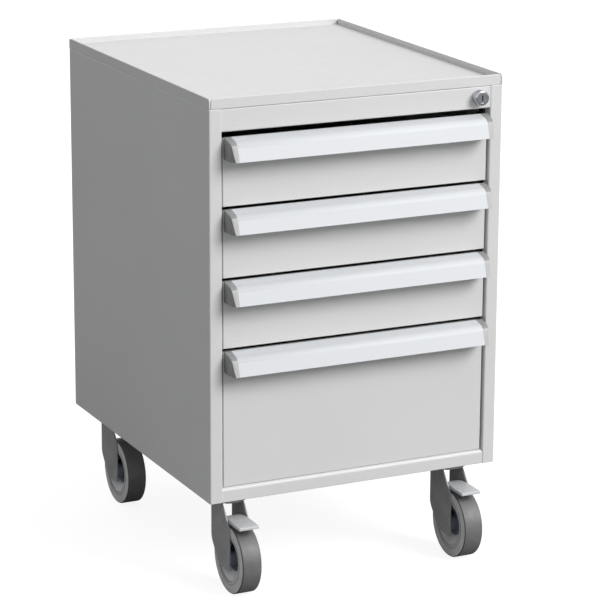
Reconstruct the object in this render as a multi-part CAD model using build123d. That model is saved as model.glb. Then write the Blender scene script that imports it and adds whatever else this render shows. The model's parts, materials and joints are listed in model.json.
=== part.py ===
from build123d import *
import os
from math import cos, hypot, radians, sin

# Mobile drawer cabinet of folded sheet steel: four drawers on telescopic rails, a tray on top, a cam
# lock that lifts a locking bar, and four swivel casters, the front pair with brake pedals.
# Millimetres, +X to the right, +Y to the back, +Z up. The origin is on the floor, in the middle of
# the ground that the cabinet covers. Drawers are numbered from the top.

# Carcass
width = 450.0
depth = 520.0
sheet = 1.5
bend_radius = 2.0
post_width = 19.0
post_lip = 15.0
rear_return = 16.0
top_flange = 14.0
back_sheet = 1.2
base_sheet = 2.0
base_flange = 22.0
sheet_play = 0.5
top_rail_height = 32.0
top_rail_depth = 15.0
bottom_rail_height = 18.5
bottom_rail_depth = 25.0
rail_recess = 1.0
top_edge_radius = 1.2
overrun = 5.0

# Top tray
tray_height = 15.0
tray_recess = 8.5
tray_sheet = 1.2
rim_corner_gap = 2.0
rim_corner_radius = 4.0

# Drawer fronts
low_front_height = 97.0
deep_front_height = 197.0
front_gap = 3.0
front_bottom_gap = 2.5
front_top_gap = 7.0
front_top_inset = 4.0
front_side_gap = 4.0
front_recess = 4.0
pan_depth = 15.0
pan_sheet = 1.2
pan_edge_radius = 2.0

# Drawer boxes
box_rear_gap = 28.3
box_sheet = 1.0
box_bend_radius = 2.0
box_upstand = 2.5
box_lift = 6.0
box_drop = 27.0
box_hem_height = 10.0
box_hem_thickness = 1.0

# Telescopic rails and their uprights
runner_space = 13.5
rail_side_gap = 0.5
rail_height = 44.0
rail_sheet = 1.2
rail_play = 0.3
rail_bend_radius = 2.5
rail_web_gap = 1.0
cabinet_lip_gap = 3.0
middle_lip_gap = 2.0
rail_rise = 25.0
rail_setback = 2.0
rail_rear_gap = 1.0
upright_width = 30.0
upright_sheet = 1.5
upright_gap = 2.0
rear_upright_inset = 28.0

# Handles and their end caps
handle_reach = 30.0
handle_height = 31.0
handle_shoulder_reach = 22.0
handle_shoulder_drop = 5.5
handle_wall = 2.0
handle_leg = 24.0
handle_heel_radius = 1.0
handle_bend_radius = 12.0
cap_back_width = 10.4
cap_shoulder_width = 8.9
cap_front_width = 5.5
cap_heel_radius = 4.0

# Cam lock
lock_from_post = 18.5
lock_rise = 1.0
lock_collar_radius = 10.0
lock_collar_length = 12.0
lock_collar_chamfer = 1.5
lock_body_radius = 8.0
lock_body_length = 13.0
lock_play = 0.1
lock_nut_radius = 11.5
lock_nut_thickness = 4.0
plug_radius = 7.0
plug_inset = 0.4
tail_radius = 4.0
tail_length = 4.0
keyhole_width = 1.8
keyhole_height = 9.0
keyhole_depth = 8.0
running_play = 0.05
cam_gap = 0.3
cam_thickness = 2.5
cam_hub_radius = 7.0
cam_arm = 10.0
cam_tip_radius = 4.0
cam_pin_radius = 2.0
cam_pin_end = 1.3
cam_rest_angle = 45.0

# Locking bar, its guides, and the catches on the drawer boxes
bar_offset = 1.0
bar_gap = 3.2
bar_thickness = 3.0
bar_width = 13.5
bar_tail = 10.0
bar_arm_half_height = 5.0
bar_arm_end = 3.0
bar_slot_play = 0.5
hook_clearance = 2.5
hook_height = 8.0
hook_thickness = 3.0
catch_drop = 1.0
catch_height = 10.0
catch_reach = 7.5
catch_sheet = 2.0
catch_gap = 1.5
hook_gap = 2.0
guide_gap = 4.0
guide_height = 12.0
guide_sheet = 1.2
guide_play = 0.3

# Casters
wheel_radius = 50.0
caster_trail = 32.5
crown_clearance = 27.4
plate_size = 76.0
plate_thickness = 3.0
plate_corner_radius = 6.0
race_bolt_gap = 5.7
race_inner_radius = 14.0
race_height = 8.3
swivel_play = 0.3
king_pin_radius = 6.0
king_head_radius = 10.0
king_head_height = 4.0
bolt_inset = 11.0
bolt_radius = 4.0
bolt_hole_play = 0.3
bolt_hex_radius = 6.5
bolt_head_height = 4.5
bolt_nut_height = 4.0

# Caster forks, with the legs measured from the axle and the tyre's top
fork_sheet = 2.0
fork_bend_radius = 4.0
neck_front = 13.0
neck_back = 21.4
leg_ahead = 8.0
leg_below = 15.5
leg_heel_behind = 27.2
leg_heel_below = 16.8
leg_waist_above = 16.2
leg_knee_below_tyre_top = 2.3
leg_corner_radius = 3.0
leg_knee_radius = 12.0
leg_waist_radius = 20.0

# Wheels
tyre_width = 29.4
tyre_side_gap = 0.3
tyre_inner_radius = 34.0
tyre_edge_radius = 2.0
bond_gap = 0.05
hub_rim_inset = 1.0
hub_rim_wall = 5.0
hub_dish_depth = 7.0
hub_dish_radius = 15.0
hub_boss_radius = 11.0
hub_side_play = 0.3
axle_radius = 5.0
axle_seat_play = 0.1

# Brake pedals, with the pin placed from the axle and the tyre's top, and the rest measured from the pin
pedal_pin_behind = 14.8
pedal_pin_over_tyre = 4.3
pedal_pin_radius = 2.5
pedal_pin_inset = 0.3
pedal_barrel_radius = 4.0
pedal_width = 30.6
pedal_stem_reach = 27.0
pedal_side_gap = 1.4
pedal_wall = 2.0
pedal_lip = 3.0
pedal_reach = 54.5
pedal_tip_rise = 2.0
pedal_tip_thickness = 3.3
pedal_tip_radius = 1.5
pedal_bend_ahead = 22.0
pedal_bend_rise = 4.1
pedal_skirt = 4.2
pedal_back = 8.0
pedal_back_rise = 1.5
brake_lobe_radius = 3.0
brake_gap = 0.4

# Caster sizes worked out from the sizes above
fork_gap = tyre_width + 2 * tyre_side_gap
leg_half = fork_gap / 2 + fork_sheet
bolt_spacing = plate_size - 2 * bolt_inset
race_radius = hypot(bolt_spacing / 2, bolt_spacing / 2) - bolt_hex_radius - race_bolt_gap
tyre_top = 2 * wheel_radius
crown_z = tyre_top + crown_clearance + fork_sheet
plate_z = crown_z + swivel_play + race_height
caster_height = plate_z + plate_thickness
swivel_inset = post_lip + sheet_play + bolt_hex_radius + bolt_spacing / 2
axle_y = -caster_trail
pin_y = axle_y + pedal_pin_behind
pin_z = tyre_top + pedal_pin_over_tyre
pin_half = leg_half - pedal_pin_inset

# Places in the cabinet worked out from the sizes above
half_width = width / 2
wall_x = half_width - sheet
opening_half = half_width - post_width
tyre_ahead = wheel_radius + caster_trail - swivel_inset
front_y = -(depth - tyre_ahead) / 2
back_y = front_y + depth
middle_y = (front_y + back_y) / 2
rail_face_y = front_y + rail_recess
carcass_z = caster_height
opening_bottom = carcass_z + bottom_rail_height
back_face_y = back_y - sheet
front_half = opening_half - front_side_gap
face_y = front_y + front_recess
pan_back_y = face_y + pan_depth
box_half = opening_half - runner_space
box_back_y = back_face_y - back_sheet - box_rear_gap
handle_half = front_half - cap_back_width


def stack_of_drawers():
    """Each drawer's number, the bottom of its front and the front's height, from the lowest up."""
    bottom = opening_bottom + front_bottom_gap
    heights = [low_front_height, low_front_height, low_front_height, deep_front_height]
    rows = []
    for number in range(len(heights), 0, -1):
        height = heights[number - 1]
        rows.append((number, bottom, height))
        bottom += height + front_gap
    return rows


drawers = stack_of_drawers()
opening_top = drawers[-1][1] + drawers[-1][2] + front_top_gap
carcass_top = opening_top + top_rail_height

# Lock, locking bar, uprights and rails, each behind the one before
lock_x = opening_half - lock_from_post
lock_z = (opening_top + carcass_top) / 2 + lock_rise
cam_front_y = rail_face_y + lock_body_length + cam_gap
cam_back_y = cam_front_y + cam_thickness
bar_lift = 2 * cam_arm * sin(radians(cam_rest_angle))
bar_x = opening_half + bar_offset
bar_y = cam_front_y + tail_length + bar_gap
front_upright_y = bar_y + bar_width + upright_gap
rail_x = opening_half - rail_side_gap
rail_front_y = front_upright_y + rail_setback
rail_rear_y = box_back_y - rail_rear_gap
rear_upright_y = rail_rear_y - rear_upright_inset - upright_width
rail_space = rail_x - box_half
cabinet_rail_reach = rail_space - cabinet_lip_gap
middle_rail_inset = rail_sheet + rail_web_gap
middle_rail_reach = rail_space - middle_rail_inset - middle_lip_gap
drawer_rail_reach = rail_space - 2 * middle_rail_inset

casters = {
    "front_left": (-half_width + swivel_inset, front_y + swivel_inset),
    "front_right": (half_width - swivel_inset, front_y + swivel_inset),
    "rear_left": (-half_width + swivel_inset, back_y - swivel_inset),
    "rear_right": (half_width - swivel_inset, back_y - swivel_inset),
}
braked = ("front_left", "front_right")


def block(low, high):
    """A block between two opposite corners."""
    size = [b - a for a, b in zip(low, high)]
    return Pos(*low) * Box(*size, align=(Align.MIN, Align.MIN, Align.MIN))


def folded(points, thickness, radius):
    """Section of a folded sheet with its outer face along the points and its inside on their left."""
    return make_face(offset(FilletPolyline(*points, radius=radius), thickness, side=Side.LEFT))


def outline(points, radii=0):
    """A face inside a closed line, with one corner radius for each point or for all."""
    if radii == 0:
        return make_face(Polyline(*points, close=True))
    return make_face(FilletPolyline(*points, radius=radii, close=True))


def along_x(section, start, end):
    """A section drawn in Y and Z, drawn out along X."""
    return extrude(Plane.YZ.offset(start) * section, end - start)


def along_y(section, start, end):
    """A section drawn in X and Z, drawn out along Y."""
    return extrude(Plane.XZ.offset(-end) * section, end - start)


def along_z(section, start, end):
    """A section drawn in X and Y, drawn out along Z."""
    return extrude(Plane.XY.offset(start) * section, end - start)


def both_sides(solid):
    """A solid of the right side and its mirror image on the left."""
    return [solid, mirror(solid, about=Plane.YZ)]


def is_outer_edge(edge):
    """Whether an edge lies on the outer face of the left side's wall, post or the fold between them."""
    middle = edge.position_at(0.5)
    on_wall = middle.X < -half_width + sheet / 2 and middle.Y < back_y - bend_radius
    on_post = middle.Y < front_y + sheet / 2 and middle.X < -opening_half - bend_radius / 2
    return on_wall or on_post


def side_panel():
    """Left side: wall, rear return and front post folded from one sheet, with a flange for the tray."""
    plan = [
        (-half_width + rear_return, back_y),
        (-half_width, back_y),
        (-half_width, front_y),
        (-opening_half, front_y),
        (-opening_half, front_y + post_lip),
    ]
    flange = block(
        (-wall_x, front_y + post_lip, carcass_top - sheet),
        (-wall_x + top_flange, back_face_y - top_flange, carcass_top),
    )
    wall = along_z(folded(plan, sheet, bend_radius), carcass_z, carcass_top)
    rounded = wall.edges().group_by(Axis.Z)[-1].filter_by(is_outer_edge)
    return fillet(rounded, top_edge_radius) + flange


def back_panel():
    """Back sheet against the rear returns, folded forward at the top."""
    section = [
        (back_face_y, carcass_z),
        (back_face_y, carcass_top),
        (back_face_y - top_flange, carcass_top),
    ]
    half = wall_x - sheet_play
    return along_x(folded(section, back_sheet, bend_radius), -half, half)


def base_panel():
    """Floor of the carcass with upturned sides, notched round the posts and drilled for the casters."""
    section = [
        (-wall_x, carcass_z + base_flange),
        (-wall_x, carcass_z),
        (wall_x, carcass_z),
        (wall_x, carcass_z + base_flange),
    ]
    channel = folded(section, base_sheet, bend_radius + base_sheet)
    panel = along_y(channel, rail_face_y + sheet, back_face_y - back_sheet)
    notch = block(
        (opening_half, front_y, carcass_z - overrun),
        (half_width, front_y + post_lip + sheet_play, carcass_z + base_flange + overrun),
    )
    for cut in both_sides(notch):
        panel -= cut
    for place in casters.values():
        panel -= bolt_holes(place, carcass_z, base_sheet)
    return panel


def top_rail():
    """Channel between the posts above the drawers, with the hole for the lock."""
    section = [
        (rail_face_y + top_rail_depth, carcass_top),
        (rail_face_y, carcass_top),
        (rail_face_y, opening_top),
        (rail_face_y + top_rail_depth, opening_top),
    ]
    rail = along_x(folded(section, sheet, bend_radius), -opening_half, opening_half)
    hole = Pos(lock_x, lock_z) * Circle(lock_body_radius + lock_play)
    return rail - along_y(hole, rail_face_y - overrun, rail_face_y + overrun)


def bottom_rail():
    """Angle between the posts below the drawers, in front of the base panel."""
    section = [
        (rail_face_y + bottom_rail_depth, opening_bottom),
        (rail_face_y, opening_bottom),
        (rail_face_y, carcass_z),
    ]
    return along_x(folded(section, sheet, bend_radius), -opening_half, opening_half)


def tray_rim(length):
    """One hemmed rim of the tray, along X with its outer face at Y 0: a double wall over a single skirt."""
    hem = 2 * tray_sheet
    face = Pos(0, tray_height / 2) * Rectangle(length, tray_height)
    face = fillet(face.vertices().group_by(Axis.Y)[-1], rim_corner_radius)
    skirt_height = tray_height - tray_recess - tray_sheet
    rebate = block((-length / 2, tray_sheet, 0), (length / 2, hem, skirt_height))
    return along_y(face, 0, hem) - rebate


def top_tray():
    """Pan on top of the carcass: a floor and four rims that stop short of each other at the corners."""
    hem = 2 * tray_sheet
    floor_z = carcass_top + tray_height - tray_recess
    tray = block(
        (-half_width + hem, front_y + hem, floor_z - tray_sheet),
        (half_width - hem, back_y - hem, floor_z),
    )
    sides = ((0, depth, width), (90, width, depth), (180, depth, width), (270, width, depth))
    for turn, reach, length in sides:
        rim = Pos(0, -reach / 2, carcass_top) * tray_rim(length - 2 * rim_corner_gap)
        tray += Pos(0, middle_y, 0) * Rot(0, 0, turn) * rim
    return tray


def uprights():
    """Channels on both side walls, front and rear, that the cabinet rails are fixed to."""
    solids = []
    for start in (front_upright_y, rear_upright_y):
        plan = [
            (wall_x, start + upright_width),
            (rail_x, start + upright_width),
            (rail_x, start),
            (wall_x, start),
        ]
        channel = folded(plan, upright_sheet, bend_radius)
        solids += both_sides(along_z(channel, carcass_z + base_flange, opening_top))
    return solids


def rail_section(reach, height):
    """A channel with its web at X 0 and its lips towards +X."""
    half = height / 2
    corners = [(reach, half), (0, half), (0, -half), (reach, -half)]
    return folded(corners, rail_sheet, rail_bend_radius)


def rail_pair(section, centre_z):
    """The right rail and the left one, from a section placed in X and centred on a height."""
    rail = along_y(Pos(0, centre_z) * section, rail_front_y, rail_rear_y)
    return both_sides(rail)


def rail_centre(front_bottom):
    """Height of the middle of a drawer's rails."""
    return front_bottom + box_lift + rail_rise


def cabinet_rails(front_bottom):
    """Outer rails on the uprights, open towards the drawer."""
    section = Pos(rail_x, 0) * mirror(rail_section(cabinet_rail_reach, rail_height), about=Plane.YZ)
    return rail_pair(section, rail_centre(front_bottom))


def middle_rails(front_bottom):
    """Rails that run inside the cabinet rails, open towards the drawer."""
    height = rail_height - 2 * (rail_sheet + rail_play)
    section = mirror(rail_section(middle_rail_reach, height), about=Plane.YZ)
    return rail_pair(Pos(rail_x - middle_rail_inset, 0) * section, rail_centre(front_bottom))


def drawer_rails(front_bottom):
    """Rails on the drawer box that run inside the middle rails, open towards the cabinet."""
    height = rail_height - 4 * (rail_sheet + rail_play)
    section = Pos(box_half, 0) * rail_section(drawer_rail_reach, height)
    return rail_pair(section, rail_centre(front_bottom))


def drawer_front(bottom, height):
    """Front of a drawer: a shallow pan of sheet, open at the back, with rounded front edges."""
    body = block((-front_half, face_y, bottom), (front_half, pan_back_y, bottom + height - front_top_inset))
    body = fillet(body.faces().sort_by(Axis.Y)[0].edges(), pan_edge_radius)
    return offset(body, -pan_sheet, openings=body.faces().sort_by(Axis.Y)[-1])


def box_top(front_bottom, front_height):
    """Height of the top of a drawer's box."""
    return front_bottom + box_lift + front_height - box_drop


def catch_bottom(front_bottom, front_height):
    """Height of the lower edge of the catch on a drawer's box."""
    return box_top(front_bottom, front_height) - catch_drop - catch_height


def drawer_box(bottom, height):
    """Sheets of a drawer's box: bottom, hemmed walls, hemmed back, liner in the front pan, lock's catch."""
    low = bottom + box_lift
    high = box_top(bottom, height)
    seam = low + box_upstand
    hem_z = high - box_hem_height
    inner = box_half - box_sheet
    hem_half = inner - box_hem_thickness
    back = box_back_y - box_sheet
    hem_back = back - box_hem_thickness
    section = [(-box_half, seam), (-box_half, low), (box_half, low), (box_half, seam)]
    floor = along_y(folded(section, box_sheet, box_bend_radius), pan_back_y, box_back_y)
    wall = block((inner, pan_back_y, seam), (box_half, box_back_y, high))
    wall += block((hem_half, pan_back_y, hem_z), (inner, hem_back, high))
    rear_face = outline([
        (-inner, high),
        (-inner, seam),
        (-inner + box_upstand, low + box_sheet),
        (inner - box_upstand, low + box_sheet),
        (inner, seam),
        (inner, high),
    ])
    rear = along_y(rear_face, back, box_back_y)
    rear += block((-inner, hem_back, hem_z), (inner, back, high))
    liner = block(
        (-front_half + pan_sheet, pan_back_y - box_sheet, bottom + pan_sheet),
        (front_half - pan_sheet, pan_back_y, bottom + height - front_top_inset - pan_sheet),
    )
    catch_y = bar_y + hook_thickness + catch_gap
    catch_z = catch_bottom(bottom, height)
    catch = block(
        (box_half, catch_y, catch_z),
        (box_half + catch_reach, catch_y + catch_sheet, catch_z + catch_height),
    )
    return [floor, *both_sides(wall), rear, liner, catch]


def handle_corners(top):
    """The handle's outer corners in Y and Z: heel, shoulder and lower lip."""
    return [
        (face_y, top),
        (face_y - handle_shoulder_reach, top - handle_shoulder_drop),
        (face_y - handle_reach, top - handle_height),
    ]


def handle(top):
    """Extruded hood across the top of a drawer front, with a leg against the front, open below."""
    section = [(face_y, top - handle_leg)] + handle_corners(top)
    hood = folded(section, handle_wall, [handle_heel_radius, handle_bend_radius])
    return along_x(hood, -handle_half, handle_half)


def handle_caps(top):
    """End caps that fill the hood's outline and narrow towards their front."""
    heel, shoulder, lip = handle_corners(top)
    foot = (face_y, top - handle_height)
    corner_radii = [0, cap_heel_radius, handle_heel_radius, handle_bend_radius]
    side = outline([lip, foot, heel, shoulder], corner_radii)
    plan = outline([
        (handle_half, face_y),
        (handle_half, face_y - handle_reach),
        (handle_half + cap_front_width, face_y - handle_reach),
        (handle_half + cap_shoulder_width, face_y - handle_shoulder_reach),
        (front_half, face_y),
    ])
    cap = along_x(side, handle_half, front_half) & along_z(plan, top - handle_height, top)
    return both_sides(cap)


def turned_on_lock(points):
    """A piece turned about the lock's axis, from radii and distances behind the rail's face."""
    return Pos(lock_x, rail_face_y, lock_z) * revolve(outline(points), Axis.Y)


def lock_housing():
    """Collar in front of the top rail and threaded body behind it, bored for the plug."""
    bore = plug_radius + running_play
    return turned_on_lock([
        (bore, -lock_collar_length),
        (lock_collar_radius - lock_collar_chamfer, -lock_collar_length),
        (lock_collar_radius, -lock_collar_length + lock_collar_chamfer),
        (lock_collar_radius, 0),
        (lock_body_radius, 0),
        (lock_body_radius, lock_body_length),
        (bore, lock_body_length),
    ])


def lock_nut():
    """Hexagon nut that holds the lock from behind the rail."""
    face = RegularPolygon(lock_nut_radius, 6) - Circle(lock_body_radius + lock_play)
    start = rail_face_y + sheet
    return along_y(Pos(lock_x, lock_z) * face, start, start + lock_nut_thickness)


def lock_plug():
    """Turning core of the lock, with an upright keyhole in front and a tail for the cam."""
    front = plug_inset - lock_collar_length
    shoulder = lock_body_length + cam_gap
    plug = turned_on_lock([
        (0, front),
        (plug_radius, front),
        (plug_radius, shoulder),
        (tail_radius, shoulder),
        (tail_radius, shoulder + tail_length),
        (0, shoulder + tail_length),
    ])
    keyhole = block(
        (lock_x - keyhole_width / 2, rail_face_y - lock_collar_length - overrun, lock_z - keyhole_height / 2),
        (lock_x + keyhole_width / 2, rail_face_y + front + keyhole_depth, lock_z + keyhole_height / 2),
    )
    return plug - keyhole


def lock_cam():
    """Arm on the plug's tail with a pin that lifts the locking bar, at rest below the level."""
    tip = Pos(cam_arm, 0)
    arm = make_hull((Circle(cam_hub_radius) + tip * Circle(cam_tip_radius)).edges())
    at_rest = Pos(lock_x, lock_z) * Rot(0, 0, -cam_rest_angle)
    plate = along_y(at_rest * (arm - Circle(tail_radius + running_play)), cam_front_y, cam_back_y)
    pin_end_y = bar_y + hook_thickness + cam_pin_end
    return plate + along_y(at_rest * tip * Circle(cam_pin_radius), cam_back_y, pin_end_y)


def hook_bottoms():
    """Heights of the hooks' lower edges with the lock open, from the lowest drawer up."""
    return [catch_bottom(bottom, height) - hook_gap - hook_height for _, bottom, height in drawers]


def locking_bar():
    """Upright strip behind the right post, with a slotted arm for the cam's pin and a hook per drawer."""
    pin_z_at_rest = lock_z - bar_lift / 2
    arm_top = pin_z_at_rest + bar_arm_half_height
    lowest = hook_bottoms()[0] - bar_tail
    bar = block((bar_x, bar_y, lowest), (bar_x + bar_thickness, bar_y + bar_width, arm_top))
    slot_start = lock_x + cam_arm * cos(radians(cam_rest_angle)) - cam_pin_radius - bar_slot_play
    slot_end = lock_x + cam_arm + cam_pin_radius + bar_slot_play
    slot_half = cam_pin_radius + bar_slot_play
    bar += block(
        (slot_start - bar_arm_end, bar_y, pin_z_at_rest - bar_arm_half_height),
        (bar_x, bar_y + hook_thickness, arm_top),
    )
    bar -= block(
        (slot_start, bar_y - overrun, pin_z_at_rest - slot_half),
        (slot_end, bar_y + hook_thickness + overrun, pin_z_at_rest + slot_half),
    )
    for start in hook_bottoms():
        bar += block(
            (box_half + hook_clearance, bar_y, start),
            (bar_x, bar_y + hook_thickness, start + hook_height),
        )
    return bar


def bar_guides():
    """Straps on the front right upright that hold the locking bar above its lowest and highest hooks."""
    inner = guide_play
    outer = guide_play + guide_sheet
    strap = block(
        (bar_x - outer, bar_y - outer, 0),
        (bar_x + bar_thickness + outer, front_upright_y, guide_height),
    )
    strap -= block(
        (bar_x - inner, bar_y - inner, -overrun),
        (bar_x + bar_thickness + inner, front_upright_y + overrun, guide_height + overrun),
    )
    rise = hook_height + bar_lift + guide_gap
    lowest, *_, highest = hook_bottoms()
    return [Pos(0, 0, start + rise) * strap for start in (lowest, highest)]


def bolt_places(place):
    """Centres of a caster's four bolts round its swivel axis."""
    x, y = place
    reach = bolt_spacing / 2
    return [(x + i * reach, y + j * reach) for i in (-1, 1) for j in (-1, 1)]


def bolt_holes(place, bottom, thickness):
    """Cutters for a caster's bolt holes through a sheet."""
    hole = Circle(bolt_radius + bolt_hole_play)
    spots = [Pos(x, y) * hole for x, y in bolt_places(place)]
    return [along_z(spot, bottom - overrun, bottom + thickness + overrun) for spot in spots]


def caster_plate(place):
    """Top plate of a caster with its fixed ball race below."""
    shape = RectangleRounded(plate_size, plate_size, plate_corner_radius)
    plate = along_z(Pos(*place) * shape, plate_z, caster_height)
    race = Circle(race_radius) - Circle(race_inner_radius)
    plate += along_z(Pos(*place) * race, plate_z - race_height, plate_z)
    return plate - bolt_holes(place, plate_z, plate_thickness)


def caster_bolts(place):
    """Bolts with their heads on the base panel and nuts under the plate."""
    head_z = carcass_z + base_sheet
    nut_z = plate_z - bolt_nut_height
    solids = []
    for x, y in bolt_places(place):
        hexagon = Pos(x, y) * RegularPolygon(bolt_hex_radius, 6)
        bolt = along_z(Pos(x, y) * Circle(bolt_radius), nut_z, head_z + bolt_head_height)
        bolt += along_z(hexagon, head_z, head_z + bolt_head_height)
        bolt += along_z(hexagon, nut_z, nut_z + bolt_nut_height)
        solids.append(bolt)
    return solids


def king_pin(place):
    """Pin under the caster plate that carries the fork's crown on its head."""
    head_top = crown_z - fork_sheet - swivel_play
    pin = along_z(Circle(king_pin_radius), head_top, plate_z)
    pin += along_z(Circle(king_head_radius), head_top - king_head_height, head_top)
    return Pos(*place) * pin


def fork(with_brake):
    """Swivel fork about the Z axis: a folded channel cut to the outline of its neck and legs."""
    section = [(leg_half, 0), (leg_half, crown_z), (-leg_half, crown_z), (-leg_half, 0)]
    channel = along_y(folded(section, fork_sheet, fork_bend_radius), axle_y - wheel_radius, neck_back)
    side = [
        (neck_back, crown_z),
        (neck_back, wheel_radius + leg_waist_above),
        (axle_y + leg_heel_behind, wheel_radius - leg_heel_below),
        (axle_y - leg_ahead, wheel_radius - leg_below),
        (axle_y - leg_ahead, tyre_top - leg_knee_below_tyre_top),
        (-neck_front, crown_z),
    ]
    corner_radii = [0, leg_waist_radius, leg_waist_radius, leg_corner_radius, leg_knee_radius, 0]
    solid = channel & along_x(outline(side, corner_radii), -leg_half, leg_half)
    king_pin_hole = Circle(king_pin_radius + running_play)
    solid -= along_z(king_pin_hole, crown_z - fork_sheet - overrun, crown_z + overrun)
    leg_holes = [Pos(axle_y, wheel_radius) * Circle(axle_radius + axle_seat_play)]
    if with_brake:
        leg_holes.append(Pos(pin_y, pin_z) * Circle(pedal_pin_radius + running_play))
    for hole in leg_holes:
        solid -= along_x(hole, -leg_half - overrun, leg_half + overrun)
    return solid


def axle():
    """Axle pin of a wheel, flush with the outside of the fork."""
    return along_x(Pos(axle_y, wheel_radius) * Circle(axle_radius), -leg_half, leg_half)


def turned_on_axle(face):
    """A wheel piece turned about the axle, from a face drawn in X and radius."""
    return Pos(0, axle_y, wheel_radius) * revolve(face, Axis.X)


def tyre():
    """Tyre with a flat tread and rounded edges."""
    band = wheel_radius - tyre_inner_radius
    face = Pos(0, tyre_inner_radius + band / 2) * Rectangle(tyre_width, band)
    return turned_on_axle(fillet(face.vertices().group_by(Axis.Y)[-1], tyre_edge_radius))


def wheel_hub():
    """Hub with a rim for the tyre, sides dished towards the middle and a boss between the fork's legs."""
    rim_half = tyre_width / 2 - hub_rim_inset
    rim_outer = tyre_inner_radius - bond_gap
    rim_inner = rim_outer - hub_rim_wall
    boss_half = fork_gap / 2 - hub_side_play
    bore = axle_radius + running_play
    right = [
        (boss_half, bore),
        (boss_half, hub_boss_radius),
        (rim_half - hub_dish_depth, hub_boss_radius),
        (rim_half - hub_dish_depth, hub_dish_radius),
        (rim_half, rim_inner),
        (rim_half, rim_outer),
    ]
    left = [(-x, r) for x, r in reversed(right)]
    return turned_on_axle(outline(right + left))


def pedal_plan(wall):
    """Plan of the pedal inside a wall: a wide tread in front, on a stem that fits between the legs."""
    tread_half = pedal_width / 2 - wall
    stem_half = fork_gap / 2 - pedal_side_gap - wall
    tread_back = pin_y - pedal_stem_reach - wall
    tip_y = pin_y - pedal_reach
    back_y_of_stem = pin_y + pedal_back
    return outline([
        (stem_half, back_y_of_stem),
        (stem_half, tread_back),
        (tread_half, tread_back),
        (tread_half, tip_y),
        (-tread_half, tip_y),
        (-tread_half, tread_back),
        (-stem_half, tread_back),
        (-stem_half, back_y_of_stem),
    ])


def brake_pedal():
    """Foot pedal between the legs: a skirted tread plate, a barrel with the brake's lobe, and the pin in it."""
    tip_y = pin_y - pedal_reach
    bend_y = pin_y - pedal_bend_ahead
    tip_z = pin_z + pedal_tip_rise
    bend_z = pin_z + pedal_bend_rise
    side = outline([
        (pin_y + pedal_back, pin_z + pedal_back_rise),
        (pin_y, bend_z),
        (bend_y, bend_z),
        (tip_y, tip_z),
        (tip_y, tip_z - pedal_tip_thickness),
        (bend_y, bend_z - pedal_skirt),
        (pin_y, bend_z - pedal_skirt),
        (pin_y + pedal_back, pin_z + pedal_back_rise - pedal_skirt),
    ])
    tip = side.vertices().group_by(Axis.X)[0]
    half = pedal_width / 2
    stem_half = fork_gap / 2 - pedal_side_gap
    low_z = pin_z - pedal_skirt
    high_z = bend_z + pedal_skirt
    pedal = along_x(fillet(tip, pedal_tip_radius), -half, half) & along_z(pedal_plan(0), low_z, high_z)
    hollow = along_x(Pos(pedal_lip, -pedal_wall) * side, -half, half)
    pedal -= hollow & along_z(pedal_plan(pedal_wall), low_z - pedal_wall, high_z)
    axle_distance = hypot(pin_y - axle_y, pin_z - wheel_radius)
    lobe_reach = axle_distance - wheel_radius - brake_gap - brake_lobe_radius
    lobe_y = pin_y + (axle_y - pin_y) * lobe_reach / axle_distance
    lobe_z = pin_z + (wheel_radius - pin_z) * lobe_reach / axle_distance
    barrel = Pos(pin_y, pin_z) * Circle(pedal_barrel_radius) + Pos(lobe_y, lobe_z) * Circle(brake_lobe_radius)
    pedal += along_x(make_hull(barrel.edges()), -stem_half, stem_half)
    return pedal + along_x(Pos(pin_y, pin_z) * Circle(pedal_pin_radius), -pin_half, pin_half)


def save(name, solids):
    """Writes a piece, or a group of like pieces, to its own file."""
    shape = Compound(list(solids)) if isinstance(solids, list) else solids
    export_step(shape, f"parts/{name}.step")


def save_carcass():
    """Writes the fixed pieces of the cabinet."""
    right, left = both_sides(mirror(side_panel(), about=Plane.YZ))
    save("side_panel_left", left)
    save("side_panel_right", right)
    save("back_panel", back_panel())
    save("base_panel", base_panel())
    save("top_rail", top_rail())
    save("bottom_rail", bottom_rail())
    save("top_tray", top_tray())
    save("runner_uprights", uprights())
    save("cabinet_rails", [rail for _, bottom, _ in drawers for rail in cabinet_rails(bottom)])


def save_lock():
    """Writes the lock and the locking bar."""
    save("lock_housing", lock_housing())
    save("lock_nut", lock_nut())
    save("lock_plug", lock_plug())
    save("lock_cam", lock_cam())
    save("locking_bar", locking_bar())
    save("lock_bar_guides", bar_guides())


def save_drawers():
    """Writes the pieces of each drawer."""
    for number, bottom, height in drawers:
        save(f"drawer_front_{number}", drawer_front(bottom, height))
        save(f"drawer_box_{number}", drawer_box(bottom, height))
        save(f"handle_{number}", handle(bottom + height))
        save(f"handle_caps_{number}", handle_caps(bottom + height))
        save(f"middle_rails_{number}", middle_rails(bottom))
        save(f"drawer_rails_{number}", drawer_rails(bottom))


def save_casters():
    """Writes the casters and what fixes them to the base panel."""
    save("caster_plates", [caster_plate(place) for place in casters.values()])
    save("king_pins", [king_pin(place) for place in casters.values()])
    save("caster_bolts", [bolt for place in casters.values() for bolt in caster_bolts(place)])
    for name, place in casters.items():
        here = Pos(*place)
        save(f"caster_fork_{name}", here * fork(name in braked))
        save(f"axle_{name}", here * axle())
        save(f"tyre_{name}", here * tyre())
        save(f"wheel_hub_{name}", here * wheel_hub())
        if name in braked:
            save(f"brake_pedal_{name}", here * brake_pedal())


os.makedirs("parts", exist_ok=True)
save_carcass()
save_lock()
save_drawers()
save_casters()
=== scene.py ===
import json
import math

import bmesh
import bpy
from mathutils import Matrix, Vector


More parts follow.
